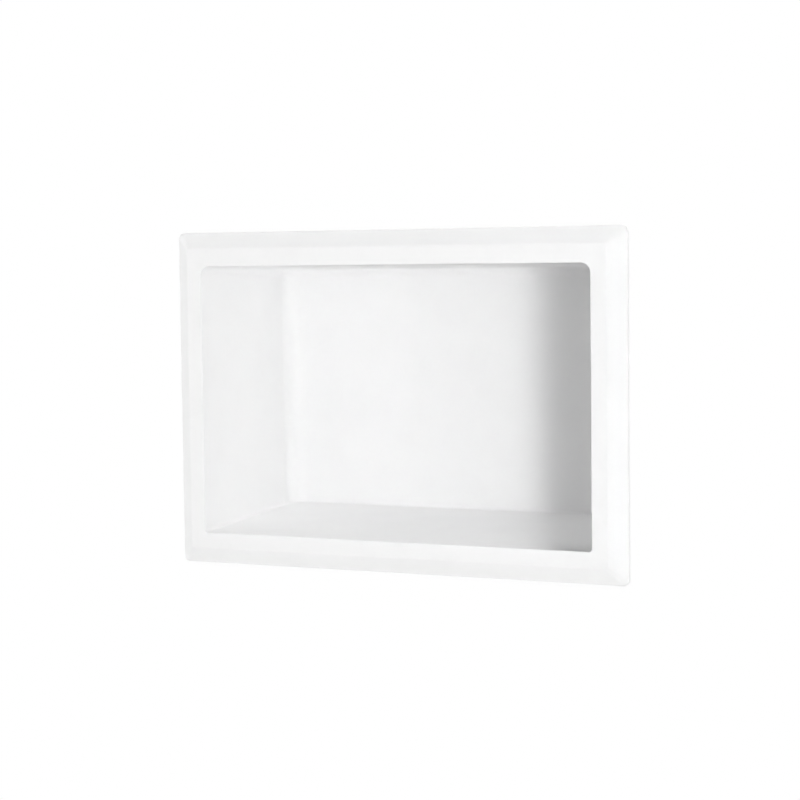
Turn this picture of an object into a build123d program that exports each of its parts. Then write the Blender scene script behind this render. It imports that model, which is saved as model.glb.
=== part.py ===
import math
import os

from build123d import *

os.makedirs("parts", exist_ok=True)

# ---------------------------------------------------------------------------
# Shower niche insert: a shallow open box with a picture-frame flange, cast in
# one piece. X runs left to right seen from the room, Y runs into the wall,
# Z is up. The origin is the centre of the flange's outline on the wall plane,
# so the flange stands in front of Y = 0 and the box goes back behind it.
# Millimetres.
# ---------------------------------------------------------------------------

# flange
outer_width = 273.0          # over the flange, left to right
outer_height = 190.5         # over the flange, bottom to top
flange_width = 18.3          # outer edge to the edge of the opening, sides and bottom
flange_width_top = 19.4      # the same above the opening
flange_proud = 9.0           # flange face in front of the wall plane
rim_thickness = 2.0          # square rim that meets the wall
bevel_run = 9.2              # width of the sloped border seen from the room
bevel_sag = 0.15             # how far the slope is hollowed below a straight one
rim_corner_radius = 3.5      # outline corners
face_corner_radius = 1.6     # corners of the flat face, where the slopes meet

# box
recess_depth = 93.0          # inside of the back, behind the wall plane
wall = 5.0                   # side walls, floor and back
draft = 1.5                  # degrees, side walls and ceiling close in to the back
floor_rise = 6.9             # floor is this much higher at the back, so it drains
upright_radius = 10.5        # inside corners between the back and the side walls
ceiling_radius = 5.5         # inside corners round the ceiling
floor_radius = 1.8           # inside corners round the floor

# edges
opening_edge_radius = 0.5    # rounding of the opening at the face
bevel_edge_radius = 1.5      # rounding between the face and the sloped border
rim_edge_radius = 0.6        # rounding between the sloped border and the rim
back_edge_radius = 0.4       # rounding of the rim at the wall
root_radius = 1.5            # where the box leaves the back of the flange

# derived sizes
opening_half_width = outer_width / 2 - flange_width
opening_top = outer_height / 2 - flange_width_top
opening_bottom = flange_width - outer_height / 2
ceiling_wall = wall + flange_width_top - flange_width    # keeps the outside central behind the flange
run_length = recess_depth + flange_proud
close_in = math.tan(math.radians(draft))
floor_slope = floor_rise / run_length
lead = 10.0                  # cutters start this far in front of the face


def half_width(y, thickness=0.0):
    """Half width of the box at depth y, thickness outside its inner face."""
    return opening_half_width - (y + flange_proud) * close_in + thickness


def ceiling(y, thickness=0.0):
    return opening_top - (y + flange_proud) * close_in + thickness


def floor(y, thickness=0.0):
    return opening_bottom + (y + flange_proud) * floor_slope - thickness


# ---------------------------------------------------------------------------
# The hollow: side outline and plan outline crossed, then its corners rounded.
# ---------------------------------------------------------------------------
hollow_front = -flange_proud - lead
with BuildPart() as hollow:
    with BuildSketch(Plane.YZ):
        with BuildLine():
            Polyline(
                (hollow_front, floor(hollow_front)),
                (recess_depth, floor(recess_depth)),
                (recess_depth, ceiling(recess_depth)),
                (hollow_front, ceiling(hollow_front)),
                close=True,
            )
        make_face()
    extrude(amount=outer_width, both=True)
    with BuildSketch(Plane.XY):
        with BuildLine():
            Polyline(
                (-half_width(hollow_front), hollow_front),
                (half_width(hollow_front), hollow_front),
                (half_width(recess_depth), recess_depth),
                (-half_width(recess_depth), recess_depth),
                close=True,
            )
        make_face()
    extrude(amount=outer_height, both=True, mode=Mode.INTERSECT)
    # back corners first, then one smooth run of edges round the ceiling and one round the floor
    fillet(
        hollow.edges().filter_by(Axis.Z).group_by(Axis.Y)[-1],
        radius=upright_radius,
    )
    fillet(
        hollow.faces().sort_by(Axis.Z)[-1].edges().filter_by(lambda e: e.center().Y > hollow_front + 1),
        radius=ceiling_radius,
    )
    fillet(
        hollow.faces().sort_by(Axis.Z)[0].edges().filter_by(lambda e: e.center().Y > hollow_front + 1),
        radius=floor_radius,
    )

# ---------------------------------------------------------------------------
# The outside of the box: the same form, one wall thickness larger all round.
# ---------------------------------------------------------------------------
shell_front = -rim_thickness / 2
shell_back = recess_depth + wall
with BuildPart() as box_outside:
    with BuildSketch(Plane.YZ):
        with BuildLine():
            Polyline(
                (shell_front, floor(shell_front, wall)),
                (shell_back, floor(shell_back, wall)),
                (shell_back, ceiling(shell_back, ceiling_wall)),
                (shell_front, ceiling(shell_front, ceiling_wall)),
                close=True,
            )
        make_face()
    extrude(amount=outer_width, both=True)
    with BuildSketch(Plane.XY):
        with BuildLine():
            Polyline(
                (-half_width(shell_front, wall), shell_front),
                (half_width(shell_front, wall), shell_front),
                (half_width(shell_back, wall), shell_back),
                (-half_width(shell_back, wall), shell_back),
                close=True,
            )
        make_face()
    extrude(amount=outer_height, both=True, mode=Mode.INTERSECT)
    fillet(
        box_outside.edges().filter_by(Axis.Z).group_by(Axis.Y)[-1],
        radius=upright_radius + wall,
    )
    fillet(
        box_outside.faces().sort_by(Axis.Z)[-1].edges().filter_by(lambda e: e.center().Y > shell_front + 1),
        radius=ceiling_radius + wall,
    )
    fillet(
        box_outside.faces().sort_by(Axis.Z)[0].edges().filter_by(lambda e: e.center().Y > shell_front + 1),
        radius=floor_radius + wall,
    )

# ---------------------------------------------------------------------------
# The whole insert.
# ---------------------------------------------------------------------------
slope_length = math.hypot(bevel_run, flange_proud - rim_thickness)
mid_run = bevel_run / 2 + bevel_sag * (flange_proud - rim_thickness) / slope_length
mid_height = (flange_proud + rim_thickness) / 2 - bevel_sag * bevel_run / slope_length

with BuildPart() as niche_body:
    # rim against the wall
    with BuildSketch(Plane.XZ):
        RectangleRounded(outer_width, outer_height, rim_corner_radius)
    extrude(amount=rim_thickness)
    # sloped border, slightly hollowed, up to the flat face
    with BuildSketch(Plane.XZ.offset(rim_thickness)):
        RectangleRounded(outer_width, outer_height, rim_corner_radius)
    with BuildSketch(Plane.XZ.offset(mid_height)):
        RectangleRounded(
            outer_width - 2 * mid_run,
            outer_height - 2 * mid_run,
            (rim_corner_radius + face_corner_radius) / 2,
        )
    with BuildSketch(Plane.XZ.offset(flange_proud)):
        RectangleRounded(
            outer_width - 2 * bevel_run,
            outer_height - 2 * bevel_run,
            face_corner_radius,
        )
    loft()
    # edges of the flange
    fillet(
        niche_body.faces().sort_by(Axis.Y)[0].outer_wire().edges(),
        radius=bevel_edge_radius,
    )
    fillet(
        niche_body.edges().filter_by_position(Axis.Y, -rim_thickness - 0.01, -rim_thickness + 0.01),
        radius=rim_edge_radius,
    )
    fillet(
        niche_body.faces().sort_by(Axis.Y)[-1].outer_wire().edges(),
        radius=back_edge_radius,
    )
    # box behind it
    add(box_outside.part)
    fillet(
        niche_body.faces().filter_by(Axis.Y).filter_by(lambda f: abs(f.center().Y) < 1e-3)
        .sort_by(SortBy.AREA)[-1].inner_wires()[0].edges(),
        radius=root_radius,
    )
    # open it up
    add(hollow.part, mode=Mode.SUBTRACT)
    fillet(
        niche_body.faces().sort_by(Axis.Y)[0].inner_wires()[0].edges(),
        radius=opening_edge_radius,
    )

niche_body.part.label = "niche_body"
export_step(niche_body.part, "parts/niche_body.step")
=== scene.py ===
import math

import bpy
from mathutils import Matrix, Vector

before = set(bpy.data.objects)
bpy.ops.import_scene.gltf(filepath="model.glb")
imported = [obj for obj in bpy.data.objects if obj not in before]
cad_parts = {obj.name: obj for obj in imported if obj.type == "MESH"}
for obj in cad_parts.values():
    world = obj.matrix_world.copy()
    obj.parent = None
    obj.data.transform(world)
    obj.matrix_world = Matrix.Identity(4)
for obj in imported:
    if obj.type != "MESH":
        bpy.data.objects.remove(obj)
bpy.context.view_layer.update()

scene = bpy.context.scene
scene.view_settings.view_transform = "Standard"
# a white recess passes light on from wall to wall many times
scene.cycles.diffuse_bounces = scene.cycles.max_bounces = 14

# ---------------------------------------------------------------- finish
# White cast polymer, satin: a filled resin that shows a very faint cloudiness
# in its white, a fine skin grain from the mould and a slightly uneven sheen.
# The back, which goes into the wall, keeps the plainer, rougher as-cast skin.

WHITE_LOW = (0.926, 0.926, 0.926, 1.0)
WHITE_HIGH = (0.946, 0.946, 0.946, 1.0)
BACK_LOW = (0.745, 0.740, 0.726, 1.0)
BACK_HIGH = (0.808, 0.805, 0.793, 1.0)


class Nodes:
    """A short way to lay out one node tree."""

    def __init__(self, tree):
        self.tree = tree
        tree.nodes.clear()

    def add(self, kind, **settings):
        node = self.tree.nodes.new(kind)
        for key, value in settings.items():
            setattr(node, key, value)
        return node

    def link(self, out, into):
        self.tree.links.new(out, into)

    def put(self, socket, value):
        if hasattr(value, "is_output"):
            self.link(value, socket)
        else:
            socket.default_value = value

    def math(self, operation, a, b=None, clamp=False):
        node = self.add("ShaderNodeMath", operation=operation, use_clamp=clamp)
        self.put(node.inputs[0], a)
        if b is not None:
            self.put(node.inputs[1], b)
        return node.outputs[0]

    def noise(self, coord, scale, detail, roughness=0.5):
        node = self.add("ShaderNodeTexNoise")
        self.link(coord, node.inputs["Vector"])
        node.inputs["Scale"].default_value = scale
        node.inputs["Detail"].default_value = detail
        node.inputs["Roughness"].default_value = roughness
        return node.outputs[0]

    def ranged(self, value, low, high, to_low, to_high):
        node = self.add("ShaderNodeMapRange", interpolation_type="SMOOTHSTEP")
        self.link(value, node.inputs["Value"])
        node.inputs["From Min"].default_value = low
        node.inputs["From Max"].default_value = high
        self.put(node.inputs["To Min"], to_low)
        self.put(node.inputs["To Max"], to_high)
        return node.outputs["Result"]

    def mix(self, factor, a, b):
        node = self.add("ShaderNodeMix", data_type="RGBA")
        self.link(factor, node.inputs["Factor"])
        self.put(node.inputs[6], a)
        self.put(node.inputs[7], b)
        return node.outputs[2]


def cast_polymer():
    material = bpy.data.materials.new("cast_polymer_satin_white")
    material.use_nodes = True
    n = Nodes(material.node_tree)
    out = n.add("ShaderNodeOutputMaterial")
    shader = n.add("ShaderNodeBsdfPrincipled")
    n.link(shader.outputs[0], out.inputs["Surface"])
    coord = n.add("ShaderNodeTexCoord")
    place = coord.outputs["Object"]

    # the outside of the box and the back of the flange: 1 there, 0 on all that shows.
    # Seen from the middle of the recess, the outside faces away and the inside faces it.
    way = coord.outputs["Normal"]
    from_middle = n.add("ShaderNodeVectorMath", operation="SUBTRACT")
    n.link(place, from_middle.inputs[0])
    from_middle.inputs[1].default_value = (0.0, 0.04, 0.0)
    turned = n.add("ShaderNodeVectorMath", operation="DOT_PRODUCT")
    n.link(way, turned.inputs[0])
    n.link(from_middle.outputs[0], turned.inputs[1])
    outside = n.ranged(turned.outputs["Value"], -0.01, 0.01, 0.0, 1.0)
    depth = n.add("ShaderNodeSeparateXYZ")
    n.link(place, depth.inputs[0])
    beyond = n.ranged(depth.outputs[1], -0.0006, -0.0001, 0.0, 1.0)
    aim = n.add("ShaderNodeSeparateXYZ")
    n.link(way, aim.inputs[0])
    rear = n.ranged(aim.outputs[1], 0.3, 0.7, 0.0, 1.0)
    back = n.math("MAXIMUM", n.math("MULTIPLY", outside, beyond), rear)

    cloud = n.ranged(n.noise(place, 42.0, 3.0, 0.55), 0.3, 0.7, 0.0, 1.0)
    fine = n.ranged(n.noise(place, 620.0, 2.0, 0.6), 0.25, 0.75, 0.0, 1.0)
    tone = n.math("ADD", n.math("MULTIPLY", cloud, 0.7), n.math("MULTIPLY", fine, 0.3))
    n.link(
        n.mix(back, n.mix(tone, WHITE_LOW, WHITE_HIGH), n.mix(tone, BACK_LOW, BACK_HIGH)),
        shader.inputs["Base Color"],
    )

    patch = n.noise(place, 95.0, 4.0, 0.6)
    sheen = n.ranged(patch, 0.3, 0.7, 0.60, 0.68)
    raw = n.ranged(patch, 0.3, 0.7, 0.74, 0.84)
    rough = n.add("ShaderNodeMix", data_type="FLOAT")
    n.link(back, rough.inputs[0])
    n.link(sheen, rough.inputs[2])
    n.link(raw, rough.inputs[3])
    n.link(rough.outputs[0], shader.inputs["Roughness"])

    # mould skin: a fine grain everywhere, and a broader orange peel on the back
    grain = n.add("ShaderNodeBump")
    grain.inputs["Strength"].default_value = 0.10
    grain.inputs["Distance"].default_value = 0.00012
    n.link(n.noise(place, 1500.0, 2.0, 0.6), grain.inputs["Height"])
    peel = n.add("ShaderNodeBump")
    n.link(n.math("MULTIPLY", back, 0.55), peel.inputs["Strength"])
    peel.inputs["Distance"].default_value = 0.0004
    n.link(n.noise(place, 330.0, 3.0, 0.55), peel.inputs["Height"])
    n.link(grain.outputs[0], peel.inputs["Normal"])
    n.link(peel.outputs[0], shader.inputs["Normal"])

    shader.inputs["IOR"].default_value = 1.49
    return material


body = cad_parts["niche_body"]
for socket in body.material_slots:
    socket.material = cast_polymer()

# ---------------------------------------------------------------- camera
FOCAL_PX = 2106.98
YAW, PITCH, ROLL = 0.4443089, 0.0674710, 0.0123834
EYE = Vector((0.502804, -1.050336, 0.079680))

ahead = Vector((-math.sin(YAW), math.cos(YAW), 0.0))
right = Vector((math.cos(YAW), math.sin(YAW), 0.0))
down = Vector((0.0, 0.0, -1.0))
ahead, down = (
    ahead * math.cos(PITCH) + down * math.sin(PITCH),
    down * math.cos(PITCH) - ahead * math.sin(PITCH),
)
right, down = (
    right * math.cos(ROLL) + down * math.sin(ROLL),
    down * math.cos(ROLL) - right * math.sin(ROLL),
)
lens = bpy.data.cameras.new("camera")
lens.sensor_width = 36.0
lens.lens = 36.0 * FOCAL_PX / 800.0
lens.clip_start = 0.02
lens.clip_end = 60.0
camera = bpy.data.objects.new("camera", lens)
turn = Matrix((right, -down, -ahead)).transposed().to_4x4()
camera.matrix_world = Matrix.Translation(EYE) @ turn
scene.collection.objects.link(camera)
scene.camera = camera

# ---------------------------------------------------------------- light
# Soft panels round the part. Azimuth is seen from above: 0 straight in front of
# the flange, positive to its right. A panel's width and height are the angles it
# fills, and radiance times pi times area is its power. The main light is a tall
# strip in front and to the right, brightest at the part's own height. Panels that
# overlap stand at different distances. Those behind the wall plane light only the
# sloped border, the rim and the outside of the box, and none of the recess.
AIM = Vector((0.0, 0.02, 0.0))
LAMPS = (
    # name, azimuth, elevation, width, height, distance, radiance
    ("key", 24.0, 0.0, 8.0, 20.0, 2.9, 10.0),
    ("key_strip", 24.0, 0.0, 8.0, 116.0, 3.0, 6.65),
    ("key_side", 31.0, 0.0, 8.0, 116.0, 3.3, 0.5),
    ("key_high", 26.0, 48.0, 12.0, 24.0, 3.1, 1.75),
    ("key_low", 32.0, -30.0, 12.0, 24.0, 3.2, 1.0),
    ("right", 70.0, 0.0, 14.0, 20.0, 4.0, 3.95),
    ("right_low", 70.0, -28.0, 14.0, 30.0, 4.1, 1.6),
    ("right_below", 82.0, -35.0, 12.0, 30.0, 4.4, 1.75),
    ("fill_left", -24.0, 8.0, 22.0, 110.0, 4.0, 0.66),
    ("fill_mid", -24.0, -4.0, 22.0, 48.0, 4.2, 0.72),
    ("side_left", -80.0, 6.0, 30.0, 100.0, 4.0, 2.25),
    ("left_behind", -100.0, 0.0, 14.0, 100.0, 4.5, 0.5),
    ("top", 40.0, 64.0, 24.0, 16.0, 4.3, 3.9),
    ("below", 180.0, -80.0, 60.0, 14.0, 4.4, 4.3),
    ("rim_right", 115.0, 0.0, 30.0, 60.0, 4.0, 1.1),
    ("rim_behind", 118.0, 0.0, 6.0, 60.0, 0.51, 3.7),
    ("rim_left", -125.0, 0.0, 30.0, 60.0, 4.0, 0.7),
    ("rim_top", 180.0, 46.0, 60.0, 30.0, 4.0, 4.4),
    ("rim_bottom", 180.0, -45.0, 50.0, 40.0, 4.0, 0.3),
)
AMBIENT = 0.004
PALE = 0.93


def lamp(name, azimuth, elevation, width, height, away, radiance):
    a, e = math.radians(azimuth), math.radians(elevation)
    way = Vector((math.sin(a) * math.cos(e), -math.cos(a) * math.cos(e), math.sin(e)))
    light = bpy.data.lights.new(name, "AREA")
    light.shape = "RECTANGLE"
    light.size = 2.0 * away * math.tan(math.radians(width / 2.0))
    light.size_y = 2.0 * away * math.tan(math.radians(height / 2.0))
    light.energy = radiance * math.pi * light.size * light.size_y
    o = bpy.data.objects.new(name, light)
    o.location = AIM + way * away
    o.rotation_euler = (-way).to_track_quat("-Z", "Y").to_euler()
    o.visible_camera = False
    scene.collection.objects.link(o)
    return o


lamps = [lamp(*row) for row in LAMPS]

world = bpy.data.worlds.new("studio")
scene.world = world
world.use_nodes = True
n = Nodes(world.node_tree)
soft = n.add("ShaderNodeBackground")
soft.inputs["Strength"].default_value = AMBIENT
seen = n.add("ShaderNodeBackground")
seen.inputs["Strength"].default_value = PALE
soft.inputs["Color"].default_value = seen.inputs["Color"].default_value = (1, 1, 1, 1)
pick = n.add("ShaderNodeMixShader")
n.link(n.add("ShaderNodeLightPath").outputs["Is Camera Ray"], pick.inputs[0])
n.link(soft.outputs[0], pick.inputs[1])
n.link(seen.outputs[0], pick.inputs[2])
n.link(pick.outputs[0], n.add("ShaderNodeOutputWorld").inputs["Surface"])


# ---------------------------------------------------------------- stage
def sheet(name, corners, faces, strength, one_sided):
    mesh = bpy.data.meshes.new(name)
    mesh.from_pydata(corners, [], faces)
    o = bpy.data.objects.new(name, mesh)
    scene.collection.objects.link(o)
    material = bpy.data.materials.new(name)
    material.use_nodes = True
    n = Nodes(material.node_tree)
    glow = n.add("ShaderNodeEmission")
    glow.inputs["Strength"].default_value = strength
    out = n.add("ShaderNodeOutputMaterial")
    if one_sided:
        pick = n.add("ShaderNodeMixShader")
        n.link(n.add("ShaderNodeNewGeometry").outputs["Backfacing"], pick.inputs[0])
        n.link(glow.outputs[0], pick.inputs[1])
        n.link(n.add("ShaderNodeBsdfTransparent").outputs[0], pick.inputs[2])
        n.link(pick.outputs[0], out.inputs["Surface"])
    else:
        n.link(glow.outputs[0], out.inputs["Surface"])
    mesh.materials.append(material)
    o.visible_diffuse = o.visible_glossy = o.visible_transmission = o.visible_shadow = False
    return o


FLOOR = -0.9
sheet(
    "floor",
    [(-25, -25, FLOOR), (25, -25, FLOOR), (25, 25, FLOOR), (-25, 25, FLOOR)],
    [(0, 1, 2, 3)],
    PALE,
    False,
)
# the wall the flange rests on, with the hole the box goes through
WALL, HOLE_X, HOLE_Z, REACH = 0.0003, 0.130, 0.089, 4.0
outer = [(-REACH, WALL, FLOOR), (REACH, WALL, FLOOR), (REACH, WALL, REACH), (-REACH, WALL, REACH)]
inner = [(-HOLE_X, WALL, -HOLE_Z), (HOLE_X, WALL, -HOLE_Z), (HOLE_X, WALL, HOLE_Z), (-HOLE_X, WALL, HOLE_Z)]
sheet(
    "wall",
    outer + inner,
    [(k, (k + 1) % 4, 4 + (k + 1) % 4, 4 + k) for k in range(4)],
    1.0,
    True,
)


# a graded flag in the right end of the opening, as a studio uses to shade one side:
# clear at its left edge, dark next to the flange. It takes light away and isn't seen.
FLAG_LEFT, FLAG_DARK, FLAG_RIGHT = 0.075, 0.107, 0.118
FLAG_LOW, FLAG_HIGH, FLAG_Y = -0.0768, 0.0757, -0.008
mesh = bpy.data.meshes.new("flag")
mesh.from_pydata(
    [
        (FLAG_LEFT, FLAG_Y, FLAG_LOW),
        (FLAG_RIGHT, FLAG_Y, FLAG_LOW),
        (FLAG_RIGHT, FLAG_Y, FLAG_HIGH),
        (FLAG_LEFT, FLAG_Y, FLAG_HIGH),
    ],
    [],
    [(0, 1, 2, 3)],
)
flag = bpy.data.objects.new("flag", mesh)
scene.collection.objects.link(flag)
material = bpy.data.materials.new("flag")
material.use_nodes = True
n = Nodes(material.node_tree)
across = n.add("ShaderNodeSeparateXYZ")
n.link(n.add("ShaderNodeTexCoord").outputs["Object"], across.inputs[0])
pick = n.add("ShaderNodeMixShader")
n.link(n.ranged(across.outputs[0], FLAG_LEFT, FLAG_DARK, 0.0, 1.0), pick.inputs[0])
n.link(n.add("ShaderNodeBsdfTransparent").outputs[0], pick.inputs[1])
felt = n.add("ShaderNodeBsdfDiffuse")
felt.inputs["Color"].default_value = (0.0, 0.0, 0.0, 1.0)
n.link(felt.outputs[0], pick.inputs[2])
n.link(pick.outputs[0], n.add("ShaderNodeOutputMaterial").inputs["Surface"])
mesh.materials.append(material)
flag.visible_camera = False
